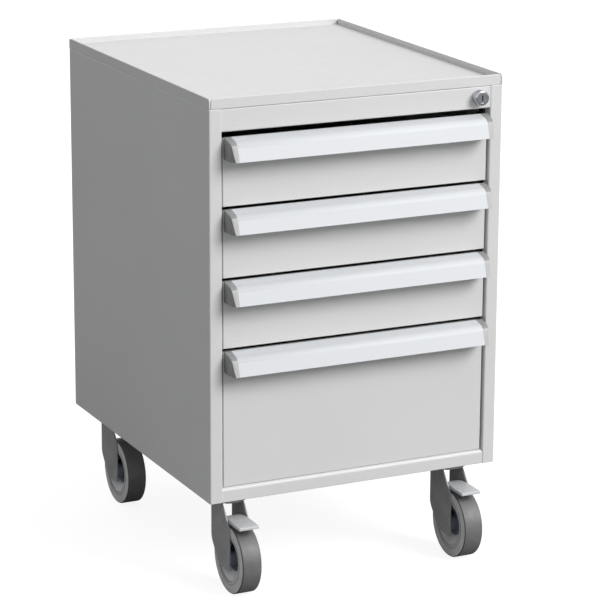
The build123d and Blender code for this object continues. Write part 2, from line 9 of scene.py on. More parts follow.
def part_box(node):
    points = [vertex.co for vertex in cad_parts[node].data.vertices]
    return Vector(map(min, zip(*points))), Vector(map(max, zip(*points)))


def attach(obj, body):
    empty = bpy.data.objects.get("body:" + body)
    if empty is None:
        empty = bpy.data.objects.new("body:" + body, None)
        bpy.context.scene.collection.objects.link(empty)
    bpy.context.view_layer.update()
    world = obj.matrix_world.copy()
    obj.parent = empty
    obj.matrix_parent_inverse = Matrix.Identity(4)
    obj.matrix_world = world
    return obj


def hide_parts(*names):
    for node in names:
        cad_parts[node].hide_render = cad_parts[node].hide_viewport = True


# Mobile drawer cabinet of light grey sheet steel. Metres, +X to the right, +Y to the back, +Z up.

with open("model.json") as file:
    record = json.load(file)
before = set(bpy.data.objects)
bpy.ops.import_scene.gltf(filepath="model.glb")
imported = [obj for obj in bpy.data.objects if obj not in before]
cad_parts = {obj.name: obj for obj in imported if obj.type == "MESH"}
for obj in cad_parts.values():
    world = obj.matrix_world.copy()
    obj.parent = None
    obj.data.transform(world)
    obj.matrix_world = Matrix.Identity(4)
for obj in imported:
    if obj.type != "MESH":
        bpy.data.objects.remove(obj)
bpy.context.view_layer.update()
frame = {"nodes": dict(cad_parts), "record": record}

drawers = (1, 2, 3, 4)
casters = ("front_left", "front_right", "rear_left", "rear_right")
braked_casters = ("front_left", "front_right")

# Camera, fitted to the carcass edges in the photograph, with its angles in degrees
camera_lens_mm = 165.191
camera_sensor_mm = 36.0
camera_place = (-1.67590, -3.55223, 1.42017)
camera_azimuth = -25.625
camera_elevation = 15.242
camera_roll = 0.276

# Studio
floor_reach = 14.0
floor_shade = (0.28, 0.28, 0.28)
floor_glow_near = 0.88
floor_glow_far = 1.0
floor_glow_start = 0.5
floor_glow_end = 2.6
ambient_shade = (0.434, 0.4375, 0.447)
key_place = (4.5, -6.8, 5.75)
key_size = 4.8
key_power = 785.0
back_place = (0.75, 3.8, 3.5)
back_size = 2.6
back_power = 20.0
lamp_target = (0.0, 0.0, 0.36)

# Finishes
paint_grey = (0.715, 0.715, 0.708)
# Painted highlight: paint edges are drawn in this lighter grey, in place of light caught by the rounded folds
paint_edge_highlight_grey = (0.80, 0.80, 0.795)
aluminium_silver = (0.685, 0.70, 0.719)
aluminium_gloss = 0.3
cap_grey = (0.30, 0.30, 0.30)
# Painted highlight: the caps' front-facing faces get this lighter copy of the cap grey, standing in for the
# key light on them
cap_front_lit_grey = (0.48, 0.48, 0.48)
chrome_silver = (0.53, 0.54, 0.57)
zinc_silver = (0.46, 0.47, 0.48)
zinc_dull = (0.34, 0.345, 0.35)
caster_grey = (0.385, 0.387, 0.39)
tread_grey = (0.165, 0.165, 0.165)
tread_polish = 0.20
# Painted shade: the tyres' rounded edges between side and tread are drawn this near-black grey
tyre_edge_shade_grey = (0.07, 0.07, 0.07)
tyre_side_grey = (0.70, 0.70, 0.695)
hub_grey = (0.60, 0.605, 0.61)
hub_centre_blue = (0.13, 0.15, 0.19)
pedal_grey = (0.635, 0.64, 0.648)
noise_span = (0.3, 0.7)
edge_span = (0.86, 0.995)
edge_samples = 4

# Meshes: what counts as one place or close by, which edges are sharp, in degrees, which faces stay flat
one_place = 1e-6
close_by = 1e-5
well_past = 1e-4
crease_angle = 35.0
sharp_angle = 60.0
facing = 0.9
broad_face = 0.001
edge_steps = 3

# Handles, measured from the heel where the hood meets the drawer front
handle_leg = 0.024
handle_shoulder = (0.022, 0.0055)
handle_wall = 0.002
handle_heel_cut = 0.0013
handle_heel_steps = 4
handle_shoulder_cut = 0.0067
handle_shoulder_steps = 12
handle_edge = 0.0005
handle_edge_steps = 2

# Caps on the ends of the handles
cap_narrowing = 0.0049
cap_curve = 3.8
cap_foot_cut = 0.004
cap_foot_steps = 5
cap_slices = (0.2, 0.4, 0.55, 0.68, 0.78, 0.86, 0.93)
cap_edge = 0.0009
cap_sharp_angle = 40.0
# How far a cap face must turn to the front to take the lighter grey of the painted highlight
cap_lit_front_facing = 0.8

# Drawer fronts and the rails above and below them
front_spread = 0.0012
front_sheet = 0.0012
front_edge = 0.0008
rail_lift = 0.0021
rail_bend = 0.0055
rail_bend_steps = 10
top_rail_bend = 0.002
top_rail_bend_steps = 5
rail_sheet = 0.0015
rail_tuck = 0.0005

# Lock collar
collar_radius = 0.011
collar_bore = 0.0071
collar_body = 0.008
collar_rim = 0.0024
collar_rim_steps = 5
collar_steps = 64

# Tray rims
rim_hem = 0.0024
rim_slit = 0.0005
rim_overlap = 0.0003
rim_corner = 0.004
rim_corner_steps = 6
rim_edge = 0.0008
tray_floor_depth = 0.0085
tray_sheet = 0.0012

# Wheels
wheel_steps = 128
tyre_bore = 0.034
tyre_edge = 0.0022
tyre_edge_steps = 4
# Faces of the rounded tyre edges that take the painted shade
tyre_shaded_edge_facing = 0.45
tyre_groove = (0.0360, 0.0364, 0.0372, 0.0376)
tyre_groove_depth = 0.0004
hub_rim_inset = 0.001
hub_rim_inner = 0.031
hub_dish = (0.0195, 0.0085)
hub_boss = 0.011
hub_bore = 0.00505
hub_edge = 0.0008
hub_edge_steps = 3

# Brake pedals, measured from their pin
pedal_pin = (0.0148, 0.0043)
pedal_pin_radius = 0.0025
pedal_pin_edge = 0.0004
pedal_pin_edge_steps = 2
pedal_pin_steps = 32
pedal_side = ((0.008, 0.0015), (0.0, 0.0041), (-0.022, 0.0043), (-0.0545, 0.0038), (-0.0545, -0.0003),
              (-0.022, -0.0004), (0.0, -0.0001), (0.008, -0.0027))
pedal_half_width = 0.0153
pedal_stem_half = 0.0136
pedal_stem_reach = 0.027
pedal_lip_start = 0.05
pedal_lip_height = 0.001
pedal_corner = 0.0015
pedal_corner_steps = 5
pedal_top_start = 0.001
pedal_edge = 0.0011
pedal_sharp_angle = 50.0
pedal_wall = 0.002

# Race covers round the king pins
king_pin_radius = 0.010
race_radius = 0.02598
race_cover = 0.0005
race_height = 0.0083
race_steps = 96

# Screws of the drawer rails
screw_radius = 0.0035
screw_rise = 0.0016
screw_crown = 0.8
screw_crown_steps = 4
screw_steps = 24
screw_places = (0.06, 0.19, 0.40)
screw_seat = 0.1937

# Bolts of the caster plates
bolt_inset = 0.011
bolt_spacing = 0.054
bolt_radius = 0.004
bolt_steps = 24
bolt_hexagon = 0.0065
hexagon_sides = 6
bolt_head = 0.0045
bolt_nut = 0.0024
bolt_nut_room = 0.004
bolt_end = 0.001
bolt_edge = 0.0006
bolt_edge_steps = 2


def place_camera():
    """The camera where the photograph was taken from, turned and rolled as it was."""
    data = bpy.data.cameras.new("camera")
    data.lens = camera_lens_mm
    data.sensor_width = camera_sensor_mm
    camera = bpy.data.objects.new("camera", data)
    bpy.context.scene.collection.objects.link(camera)
    side = math.radians(camera_azimuth)
    rise = math.radians(camera_elevation)
    roll = math.radians(camera_roll)
    back = Vector((math.sin(side) * math.cos(rise), -math.cos(side) * math.cos(rise), math.sin(rise)))
    right = Vector((math.cos(side), math.sin(side), 0))
    up = back.cross(right)
    rolled_right = math.cos(roll) * right + math.sin(roll) * up
    rolled_up = math.cos(roll) * up - math.sin(roll) * right
    turn = Matrix((rolled_right, rolled_up, back)).transposed()
    camera.matrix_world = Matrix.Translation(camera_place) @ turn.to_4x4()
    bpy.context.scene.camera = camera


def place_lamp(name, place, size, power):
    """A square soft box turned towards the cabinet."""
    data = bpy.data.lights.new(name, "AREA")
    data.shape = "SQUARE"
    data.size = size
    data.energy = power
    lamp = bpy.data.objects.new(name, data)
    bpy.context.scene.collection.objects.link(lamp)
    lamp.location = place
    aim = Vector(lamp_target) - Vector(place)
    lamp.rotation_euler = aim.to_track_quat("-Z", "Y").to_euler()


def add_node(tree, kind, inputs=None, **settings):
    """A node with its settings, and with its inputs set or linked."""
    node = tree.nodes.new(kind)
    for key, value in settings.items():
        setattr(node, key, value)
    for key, value in (inputs or {}).items():
        if isinstance(value, bpy.types.NodeSocket):
            tree.links.new(value, node.inputs[key])
        else:
            node.inputs[key].default_value = value
    return node


def seen_directly(tree, reflected):
    """1 for rays from the camera and, where reflections are asked for too, for those that gloss sends on."""
    rays = add_node(tree, "ShaderNodeLightPath")
    direct = rays.outputs["Is Camera Ray"]
    if not reflected:
        return direct
    glossy = rays.outputs["Is Glossy Ray"]
    return add_node(tree, "ShaderNodeMath", {0: direct, 1: glossy}, operation="MAXIMUM").outputs[0]


def light_studio():
    """A pale world that shows white behind the object and in its reflections, and two soft boxes."""
    world = bpy.data.worlds.new("studio")
    world.use_nodes = True
    bpy.context.scene.world = world
    tree = world.node_tree
    ambient = tree.nodes["Background"]
    ambient.inputs["Color"].default_value = (*ambient_shade, 1)
    white = add_node(tree, "ShaderNodeBackground", {"Color": (1, 1, 1, 1)})
    chosen = add_node(tree, "ShaderNodeMixShader", {
        0: seen_directly(tree, reflected=True), 1: ambient.outputs[0], 2: white.outputs[0],
    })
    tree.links.new(chosen.outputs[0], tree.nodes["World Output"].inputs["Surface"])
    place_lamp("key_soft_box", key_place, key_size, key_power)
    place_lamp("back_soft_box", back_place, back_size, back_power)


def lay_floor():
    """Pale floor that takes the cabinet's shadow and runs out into the white background."""
    mesh = bmesh.new()
    bmesh.ops.create_grid(mesh, x_segments=1, y_segments=1, size=floor_reach)
    data = bpy.data.meshes.new("floor")
    mesh.to_mesh(data)
    mesh.free()
    floor = bpy.data.objects.new("floor", data)
    bpy.context.scene.collection.objects.link(floor)
    material = bpy.data.materials.new("floor")
    material.use_nodes = True
    tree = material.node_tree
    surface = tree.nodes["Principled BSDF"]
    surface.inputs["Base Color"].default_value = (*floor_shade, 1)
    surface.inputs["Roughness"].default_value = 1.0
    surface.inputs["Specular IOR Level"].default_value = 0.0
    place = add_node(tree, "ShaderNodeTexCoord").outputs["Object"]
    distance = add_node(tree, "ShaderNodeVectorMath", {0: place}, operation="LENGTH").outputs["Value"]
    fade = add_node(tree, "ShaderNodeMapRange", {
        "Value": distance, "From Min": floor_glow_start, "From Max": floor_glow_end,
        "To Min": floor_glow_near, "To Max": floor_glow_far,
    }).outputs["Result"]
    direct = seen_directly(tree, reflected=False)
    strength = add_node(tree, "ShaderNodeMath", {0: direct, 1: fade}, operation="MULTIPLY").outputs[0]
    glow = add_node(tree, "ShaderNodeEmission", {"Strength": strength}).outputs[0]
    both = add_node(tree, "ShaderNodeAddShader", {0: surface.outputs[0], 1: glow}).outputs[0]
    tree.links.new(both, tree.nodes["Material Output"].inputs["Surface"])
    data.materials.append(material)


def shaded(colour, share):
    """A colour made lighter or darker by a share."""
    return tuple(channel * share for channel in colour)


class Finish:
    """A material under construction: its surface shader, and the place on the object that patterns read."""

    def __init__(self, name, colour, roughness, metallic=0.0):
        self.material = bpy.data.materials.new(name)
        self.material.use_nodes = True
        self.tree = self.material.node_tree
        self.surface = self.tree.nodes["Principled BSDF"]
        self.surface.inputs["Base Color"].default_value = (*colour, 1)
        self.surface.inputs["Roughness"].default_value = roughness
        self.surface.inputs["Metallic"].default_value = metallic
        self.place = self.add("ShaderNodeTexCoord").outputs["Object"]

    def add(self, kind, inputs=None, **settings):
        """A node of this material."""
        return add_node(self.tree, kind, inputs, **settings)

    def feed(self, socket, value):
        """Leads a pattern into the surface shader."""
        self.tree.links.new(value, self.surface.inputs[socket])

    def noise(self, scale, detail=2.0, stretch=(1, 1, 1)):
        """Soft noise from 0 to 1, with as many grains in a metre as its scale."""
        place = self.add("ShaderNodeMapping", {"Vector": self.place, "Scale": stretch}).outputs["Vector"]
        inputs = {"Vector": place, "Scale": scale, "Detail": detail}
        return self.add("ShaderNodeTexNoise", inputs).outputs["Fac"]

    def cells(self, scale):
        """A random value for each cell of a crystal pattern."""
        pattern = self.add("ShaderNodeTexVoronoi", {"Vector": self.place, "Scale": scale})
        return self.add("ShaderNodeSeparateColor", {"Color": pattern.outputs["Color"]}).outputs["Red"]

    def spread(self, value, low, high, span=noise_span):
        """A pattern's span mapped to the values from low to high."""
        return self.add("ShaderNodeMapRange", {
            "Value": value, "From Min": span[0], "From Max": span[1], "To Min": low, "To Max": high,
        }).outputs["Result"]

    def mixed(self, factor, first, second):
        """Two colours mixed by a pattern. The node takes them at sockets 6 and 7, and gives one out at 2."""
        mix = self.add("ShaderNodeMix", {0: factor}, data_type="RGBA")
        for socket, colour in ((mix.inputs[6], first), (mix.inputs[7], second)):
            if isinstance(colour, bpy.types.NodeSocket):
                self.tree.links.new(colour, socket)
            else:
                socket.default_value = (*colour, 1)
        return mix.outputs[2]

    def clouded(self, pattern, colour, darkest, lightest):
        """A colour that a pattern makes darker and lighter."""
        return self.mixed(self.spread(pattern, 0.0, 1.0), shaded(colour, darkest), shaded(colour, lightest))

    def edges(self, radius):
        """1 along the object's edges and 0 on its flat faces, with the rounded normal that finds them."""
        rounded = self.add("ShaderNodeBevel", {"Radius": radius}, samples=edge_samples).outputs["Normal"]
        straight = self.add("ShaderNodeNewGeometry").outputs["Normal"]
        alike = self.add("ShaderNodeVectorMath", {0: rounded, 1: straight}, operation="DOT_PRODUCT")
        return self.spread(alike.outputs["Value"], 1.0, 0.0, edge_span), rounded

    def bump(self, height, strength, distance, normal=None):
        """Fine relief from a pattern, over a rounded normal if there is one."""
        inputs = {"Height": height, "Strength": strength, "Distance": distance}
        if normal is not None:
            inputs["Normal"] = normal
        self.feed("Normal", self.add("ShaderNodeBump", inputs).outputs["Normal"])


def powder_coat():
    """Light grey satin powder coat: fine orange peel, faint cloudiness, and a painted highlight lighter along
    the folds.
    """
    finish = Finish("powder_coat", paint_grey, roughness=0.42)
    cloud = finish.noise(scale=5.0, detail=3.0)
    body = finish.clouded(cloud, paint_grey, darkest=0.985, lightest=1.015)
    edge, rounded = finish.edges(radius=0.0012)
    # Edges mixed towards the lighter edge grey: a painted highlight along the folds
    finish.feed("Base Color", finish.mixed(edge, body, paint_edge_highlight_grey))
    finish.feed("Roughness", finish.spread(finish.noise(scale=60.0, detail=3.0), low=0.36, high=0.48))
    finish.bump(finish.noise(scale=1100.0), strength=0.10, distance=0.00025, normal=rounded)
    return finish.material


def satin_aluminium():
    """Extruded aluminium with a satin anodised skin and fine draw lines along its length."""
    finish = Finish("satin_aluminium", aluminium_silver, roughness=0.60, metallic=0.1)
    finish.surface.inputs["Specular IOR Level"].default_value = aluminium_gloss
    lines = finish.noise(scale=1.0, detail=3.0, stretch=(6.0, 2600.0, 2600.0))
    edge, rounded = finish.edges(radius=0.0006)
    body = finish.clouded(lines, aluminium_silver, darkest=0.97, lightest=1.0)
    # Edges mixed towards a lighter silver: a painted highlight along the edges
    finish.feed("Base Color", finish.mixed(edge, body, shaded(aluminium_silver, share=1.06)))
    finish.feed("Roughness", finish.spread(lines, low=0.55, high=0.66))
    finish.bump(lines, strength=0.08, distance=0.00005, normal=rounded)
    return finish.material


def moulded_caps(name, grey):
    """Grey moulded plastic with a fine spark-eroded grain."""
    finish = Finish(name, grey, roughness=0.5)
    grain = finish.noise(scale=2600.0)
    edge, rounded = finish.edges(radius=0.0006)
    body = finish.clouded(finish.noise(scale=90.0), grey, darkest=0.95, lightest=1.05)
    # Edges mixed towards a lighter grey: a painted highlight along the edges
    finish.feed("Base Color", finish.mixed(edge, body, shaded(grey, share=1.2)))
    finish.feed("Roughness", finish.spread(grain, low=0.42, high=0.58))
    finish.bump(grain, strength=0.12, distance=0.00008, normal=rounded)
    return finish.material


def polished_chrome():
    """Chrome plate with the faint rub of keys and fingers."""
    finish = Finish("polished_chrome", chrome_silver, roughness=0.12, metallic=1.0)
    smear = finish.noise(scale=420.0, detail=3.0)
    _, rounded = finish.edges(radius=0.0005)
    body = finish.clouded(finish.noise(scale=160.0), chrome_silver, darkest=0.92, lightest=1.0)
    finish.feed("Base Color", body)
    finish.feed("Roughness", finish.spread(smear, low=0.04, high=0.14))
    finish.bump(smear, strength=0.02, distance=0.00005, normal=rounded)
    return finish.material


def bright_zinc():
    """Zinc plate with its spangle, duller where the plating is thin."""
    finish = Finish("bright_zinc", zinc_silver, roughness=0.36, metallic=1.0)
    spangle = finish.cells(scale=150.0)
    edge, rounded = finish.edges(radius=0.0006)
    body = finish.mixed(spangle, zinc_dull, zinc_silver)
    # Edges mixed towards a lighter silver: a painted highlight along the edges
    finish.feed("Base Color", finish.mixed(edge, body, shaded(zinc_silver, share=1.2)))
    finish.feed("Roughness", finish.spread(spangle, low=0.30, high=0.44, span=(0.0, 1.0)))
    finish.bump(finish.noise(scale=900.0), strength=0.05, distance=0.00005, normal=rounded)
    return finish.material


def caster_enamel():
    """Grey stove enamel on pressed steel, with scuffs and a painted highlight lighter along its edges."""
    finish = Finish("caster_enamel", caster_grey, roughness=0.45)
    scuff = finish.noise(scale=45.0, detail=5.0)
    edge, rounded = finish.edges(radius=0.0008)
    body = finish.clouded(scuff, caster_grey, darkest=0.9, lightest=1.1)
    # Edges mixed towards a much lighter grey: a painted highlight along the edges
    finish.feed("Base Color", finish.mixed(edge, body, shaded(caster_grey, share=1.7)))
    finish.feed("Roughness", finish.spread(scuff, low=0.36, high=0.54))
    finish.bump(finish.noise(scale=1300.0), strength=0.08, distance=0.0001, normal=rounded)
    return finish.material


def tyre_rubber(name, grey, polish=0.0):
    """Grey rubber with dust on it and a fine moulded grain, smoother where the floor polishes it."""
    finish = Finish(name, grey, roughness=0.68 - polish)
    dust = finish.noise(scale=70.0, detail=5.0)
    grain = finish.noise(scale=1500.0, detail=3.0)
    finish.feed("Base Color", finish.clouded(dust, grey, darkest=0.9, lightest=1.08))
    finish.feed("Roughness", finish.spread(dust, low=0.58 - polish, high=0.78 - polish))
    finish.bump(grain, strength=0.15, distance=0.0001)
    return finish.material


def hub_polyamide(name, grey):
    """Moulded polyamide with a slight sheen."""
    finish = Finish(name, grey, roughness=0.35)
    grain = finish.noise(scale=1200.0, detail=3.0)
    edge, rounded = finish.edges(radius=0.0008)
    body = finish.clouded(finish.noise(scale=60.0), grey, darkest=0.94, lightest=1.06)
    # Edges mixed towards a lighter grey: a painted highlight along the edges
    finish.feed("Base Color", finish.mixed(edge, body, shaded(grey, share=1.25)))
    finish.feed("Roughness", finish.spread(grain, low=0.28, high=0.42))
    finish.bump(grain, strength=0.06, distance=0.0001, normal=rounded)
    return finish.material


def pedal_plastic():
    """Light grey moulded pedal, scuffed by shoes."""
    finish = Finish("pedal_plastic", pedal_grey, roughness=0.38)
    scuff = finish.noise(scale=160.0, detail=5.0, stretch=(1.0, 3.0, 1.0))
    edge, rounded = finish.edges(radius=0.0008)
    body = finish.clouded(scuff, pedal_grey, darkest=0.93, lightest=1.05)
    # Edges mixed towards a lighter grey: a painted highlight along the edges
    finish.feed("Base Color", finish.mixed(edge, body, shaded(pedal_grey, share=1.35)))
    finish.feed("Roughness", finish.spread(scuff, low=0.30, high=0.48))
    finish.bump(scuff, strength=0.05, distance=0.0001, normal=rounded)
    return finish.material


finishes = {
    "cabinet_paint": powder_coat(),
    "handle_aluminium": satin_aluminium(),
    "cap_plastic": moulded_caps("moulded_caps", cap_grey),
    "chrome": polished_chrome(),
    "zinc_steel": bright_zinc(),
    "caster_steel": caster_enamel(),
    "grey_rubber": tyre_rubber("tyre_side_rubber", tyre_side_grey),
    "hub_plastic": hub_polyamide("hub_polyamide", hub_grey),
    "pedal_plastic": pedal_plastic(),
}
# Lighter copy of the cap plastic for the front faces: a painted highlight
cap_front_painted_light = moulded_caps("moulded_cap_fronts_painted_light", cap_front_lit_grey)
tread_rubber = tyre_rubber("tread_rubber", tread_grey, tread_polish)
# Near-black rubber for the rounded tyre edges: a painted dark line of shade
tyre_edge_painted_shade = tyre_rubber("tyre_edge_painted_shade", tyre_edge_shade_grey)
hub_centre = hub_polyamide("hub_centre_polyamide", hub_centre_blue)


def dress_nodes():
    """Gives every CAD node the finish of its material slot."""
    for part in frame["record"]["subparts"]:
        node = frame["nodes"][part["node"]]
        node.data.materials.clear()
        node.data.materials.append(finishes[part["material_slot"]])


def add_piece(name, mesh, body, slot, nodes=(), materials=None):
    """Makes an object of a finished mesh that moves with a body, smooth but for creases and broad faces."""
    for face in mesh.faces:
        face.smooth = face.calc_area() < broad_face
    for edge in mesh.edges:
        edge.smooth = len(edge.link_faces) == 2 and edge.calc_face_angle() < math.radians(crease_angle)
    data = bpy.data.meshes.new(name)
    mesh.to_mesh(data)
    mesh.free()
    piece = bpy.data.objects.new(name, data)
    bpy.context.scene.collection.objects.link(piece)
    for material in materials or [finishes[slot]]:
        data.materials.append(material)
    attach(piece, body)
    if nodes:
        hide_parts(*nodes)


def everything(mesh):
    """All corners, edges and faces of a mesh."""
    return mesh.verts[:] + mesh.edges[:] + mesh.faces[:]


def close_up(mesh):
    """Merges a mesh's doubles and turns its faces outwards."""
    bmesh.ops.remove_doubles(mesh, verts=mesh.verts, dist=one_place)
    bmesh.ops.recalc_face_normals(mesh, faces=mesh.faces)


def join(mesh, other):
    """Adds another mesh to a mesh."""
    loose = bpy.data.meshes.new("loose")
    other.to_mesh(loose)
    other.free()
    mesh.from_mesh(loose)
    bpy.data.meshes.remove(loose)


def outline_face(mesh, points):
    """A flat face through a few corners."""
    mesh.faces.new([mesh.verts.new(point) for point in points])


def round_corners(mesh, corners, cut, segments):
    """Rounds corners of an outline, each cut back by the same length along both of its sides."""
    bmesh.ops.bevel(mesh, geom=corners, offset=cut, offset_type="OFFSET", affect="VERTICES",
                    segments=segments, profile=0.5, material=-1, clamp_overlap=True)


def round_bends(mesh, bends):
    """Rounds the corners of an outline that lie at the given places, each with its own cut."""
    for place, cut, segments in bends:
        nearest = min(mesh.verts, key=lambda vert: (vert.co - place).length)
        round_corners(mesh, [nearest], cut, segments)


def round_edges(mesh, edges, radius, segments=edge_steps):
    """Rounds edges of a solid."""
    bmesh.ops.bevel(mesh, geom=edges, offset=radius, offset_type="OFFSET", affect="EDGES",
                    segments=segments, profile=0.5, material=-1, clamp_overlap=True)


def sharp_edges(mesh, angle):
    """Edges that turn by more than an angle in degrees."""
    limit = math.radians(angle)
    return [edge for edge in mesh.edges if len(edge.link_faces) == 2 and edge.calc_face_angle() > limit]


def slice_across(mesh, place):
    """Cuts a mesh in two along a plane across Y, and keeps both halves joined."""
    bmesh.ops.bisect_plane(mesh, geom=everything(mesh), plane_co=place, plane_no=(0, 1, 0))


def mirror_over(mesh):
    """Adds a mesh's mirror image on the other side of the cabinet."""
    bmesh.ops.mirror(mesh, geom=everything(mesh), axis="X", merge_dist=-1)
    close_up(mesh)


def move_drawn(mesh, drawn, step):
    """Moves the corners that an extrusion made, and turns the faces outwards."""
    moved = [item for item in drawn["geom"] if isinstance(item, bmesh.types.BMVert)]
    bmesh.ops.translate(mesh, verts=moved, vec=step)
    bmesh.ops.recalc_face_normals(mesh, faces=mesh.faces)


def draw_out(mesh, step):
    """Draws an outline's face out to a solid."""
    move_drawn(mesh, bmesh.ops.extrude_face_region(mesh, geom=mesh.faces[:]), step)


def turn_round(mesh, centre, axis, steps):
    """Turns an outline's edges round an axis to a closed ring."""
    bmesh.ops.delete(mesh, geom=mesh.faces[:], context="FACES_ONLY")
    bmesh.ops.spin(mesh, geom=mesh.verts[:] + mesh.edges[:], cent=centre, axis=axis, dvec=(0, 0, 0),
                   angle=2 * math.pi, steps=steps, use_merge=True, use_normal_flip=False, use_duplicate=False)
    close_up(mesh)


def outline_ring(mesh, middle, right):
    """A wheel part's section above its axle, from its right half as places along the axle and radii."""
    ring = right + [(-x, radius) for x, radius in reversed(right)]
    outline_face(mesh, [middle + Vector((x, 0, radius)) for x, radius in ring])


def make_tyre(place):
    """Tyre with a dark tread, rounded edges painted near black as shade, light sides and a moulded ring line
    on each side.
    """
    low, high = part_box(f"tyre_{place}")
    middle = (low + high) / 2
    half = (high.x - low.x) / 2
    radius = (high.z - low.z) / 2
    groove = half - tyre_groove_depth
    first, second, third, fourth = tyre_groove
    mesh = bmesh.new()
    outline_ring(mesh, middle, [(half, tyre_bore), (half, first), (groove, second), (groove, third),
                                (half, fourth), (half, radius)])
    outer = [vert for vert in mesh.verts if vert.co.z > middle.z + radius - close_by]
    round_corners(mesh, outer, tyre_edge, tyre_edge_steps)
    turn_round(mesh, middle, (1, 0, 0), wheel_steps)
    # Sides take the light side grey, the tread its own grey, and the rounded edges the near-black painted
    # shade
    for face in mesh.faces:
        sideways = abs(face.normal.x)
        if sideways > facing:
            face.material_index = 0
        elif sideways > tyre_shaded_edge_facing:
            face.material_index = 2
        else:
            face.material_index = 1
    add_piece(f"moulded_tyre_{place}", mesh, f"wheel_{place}", "grey_rubber", [f"tyre_{place}"],
              [finishes["grey_rubber"], tread_rubber, tyre_edge_painted_shade])


def make_hub(place):
    """Dished hub with a flat rim, a dark middle and a boss for the axle."""
    low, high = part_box(f"wheel_hub_{place}")
    middle = (low + high) / 2
    boss_half = (high.x - low.x) / 2
    rim_outer = (high.z - low.z) / 2
    tyre_low, tyre_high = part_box(f"tyre_{place}")
    rim_half = (tyre_high.x - tyre_low.x) / 2 - hub_rim_inset
    dish_radius, dish_depth = hub_dish
    dish_half = rim_half - dish_depth
    mesh = bmesh.new()
    outline_ring(mesh, middle, [(boss_half, hub_bore), (boss_half, hub_boss), (dish_half, hub_boss),
                                (dish_half, dish_radius), (rim_half, hub_rim_inner), (rim_half, rim_outer)])
    turned = [vert for vert in mesh.verts
              if hub_boss + close_by < vert.co.z - middle.z < rim_outer - close_by]
    round_corners(mesh, turned, hub_edge, hub_edge_steps)
    turn_round(mesh, middle, (1, 0, 0), wheel_steps)
    for face in mesh.faces:
        reach = face.calc_center_median() - middle
        face.material_index = 1 if math.hypot(reach.y, reach.z) < dish_radius - hub_edge else 0
    add_piece(f"moulded_hub_{place}", mesh, f"wheel_{place}", "hub_plastic", [f"wheel_hub_{place}"],
              [finishes["hub_plastic"], hub_centre])


def handle_line(number):
    """Outer corners of a handle's hood: heel, shoulder and lip, with the hood's low and high ends in X."""
    low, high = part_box(f"handle_{number}")
    cap_low, cap_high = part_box(f"handle_caps_{number}")
    reach, drop = handle_shoulder
    heel = Vector((0, high.y, cap_high.z))
    shoulder = Vector((0, high.y - reach, cap_high.z - drop))
    lip = Vector((0, low.y, high.z - (cap_high.z - cap_low.z)))
    return heel, shoulder, lip, low.x, high.x


def hood_bends(heel, shoulder):
    """The two bends of a handle's hood, which its caps follow."""
    return ((heel, handle_heel_cut, handle_heel_steps),
            (shoulder, handle_shoulder_cut, handle_shoulder_steps))


def bent_strip(points, bends, left, right, wall):
    """A strip through a few corners in YZ, rounded at its bends, drawn out along X and given its wall."""
    mesh = bmesh.new()
    corners = [mesh.verts.new(point) for point in points]
    for start, end in zip(corners, corners[1:]):
        mesh.edges.new((start, end))
    round_bends(mesh, bends)
    bmesh.ops.translate(mesh, verts=mesh.verts, vec=(left, 0, 0))
    move_drawn(mesh, bmesh.ops.extrude_edge_only(mesh, edges=mesh.edges[:]), (right - left, 0, 0))
    top = max(mesh.faces, key=lambda face: face.calc_center_median().z)
    if top.normal.z < 0:
        bmesh.ops.reverse_faces(mesh, faces=mesh.faces)
    bmesh.ops.solidify(mesh, geom=mesh.faces[:], thickness=wall)
    close_up(mesh)
    return mesh


def make_handle(number):
    """Hood of a handle: an extruded strip with rounded edges."""
    heel, shoulder, lip, left, right = handle_line(number)
    foot = heel - Vector((0, 0, handle_leg))
    mesh = bent_strip((foot, heel, shoulder, lip), hood_bends(heel, shoulder), left, right, handle_wall)
    round_edges(mesh, sharp_edges(mesh, sharp_angle), handle_edge, handle_edge_steps)
    add_piece(f"drawn_handle_{number}", mesh, f"drawer_{number}", "handle_aluminium", [f"handle_{number}"])


def make_bottom_rail():
    """Rail below the drawers: a sheet bent back along its upper edge, close under the lowest front."""
    low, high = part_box("bottom_rail")
    top = high.z + rail_lift
    edge = Vector((0, low.y, top))
    points = (Vector((0, high.y, top)), edge, Vector((0, low.y, low.z)))
    bends = ((edge, rail_bend, rail_bend_steps),)
    mesh = bent_strip(points, bends, low.x - rail_tuck, high.x + rail_tuck, rail_sheet)
    add_piece("folded_bottom_rail", mesh, "cabinet", "cabinet_paint", ["bottom_rail"])


def make_top_rail():
    """Rail above the drawers: a channel whose ends are tucked behind the round of the posts."""
    low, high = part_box("top_rail")
    upper = Vector((0, low.y, high.z))
    lower = Vector((0, low.y, low.z))
    points = (Vector((0, high.y, low.z)), lower, upper, Vector((0, high.y, high.z)))
    bends = ((lower, top_rail_bend, top_rail_bend_steps), (upper, top_rail_bend, top_rail_bend_steps))
    mesh = bent_strip(points, bends, low.x - rail_tuck, high.x + rail_tuck, rail_sheet)
    add_piece("folded_top_rail", mesh, "cabinet", "cabinet_paint", ["top_rail"])


def make_lock_collar():
    """Housing of the lock: a body behind the rail's face and a collar with a rounded rim before it."""
    low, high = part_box("lock_housing")
    rail_low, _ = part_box("top_rail")
    middle = (low + high) / 2
    ring = [(collar_bore, high.y), (collar_body, high.y), (collar_body, rail_low.y),
            (collar_radius, rail_low.y), (collar_radius, low.y), (collar_bore, low.y)]
    mesh = bmesh.new()
    outline_face(mesh, [(middle.x, y, middle.z + reach) for reach, y in ring])
    rim = [vert for vert in mesh.verts
           if vert.co.y < low.y + close_by and vert.co.z > middle.z + collar_body]
    round_corners(mesh, rim, collar_rim, collar_rim_steps)
    turn_round(mesh, middle, (0, 1, 0), collar_steps)
    add_piece("turned_lock_collar", mesh, "cabinet", "chrome", ["lock_housing"])


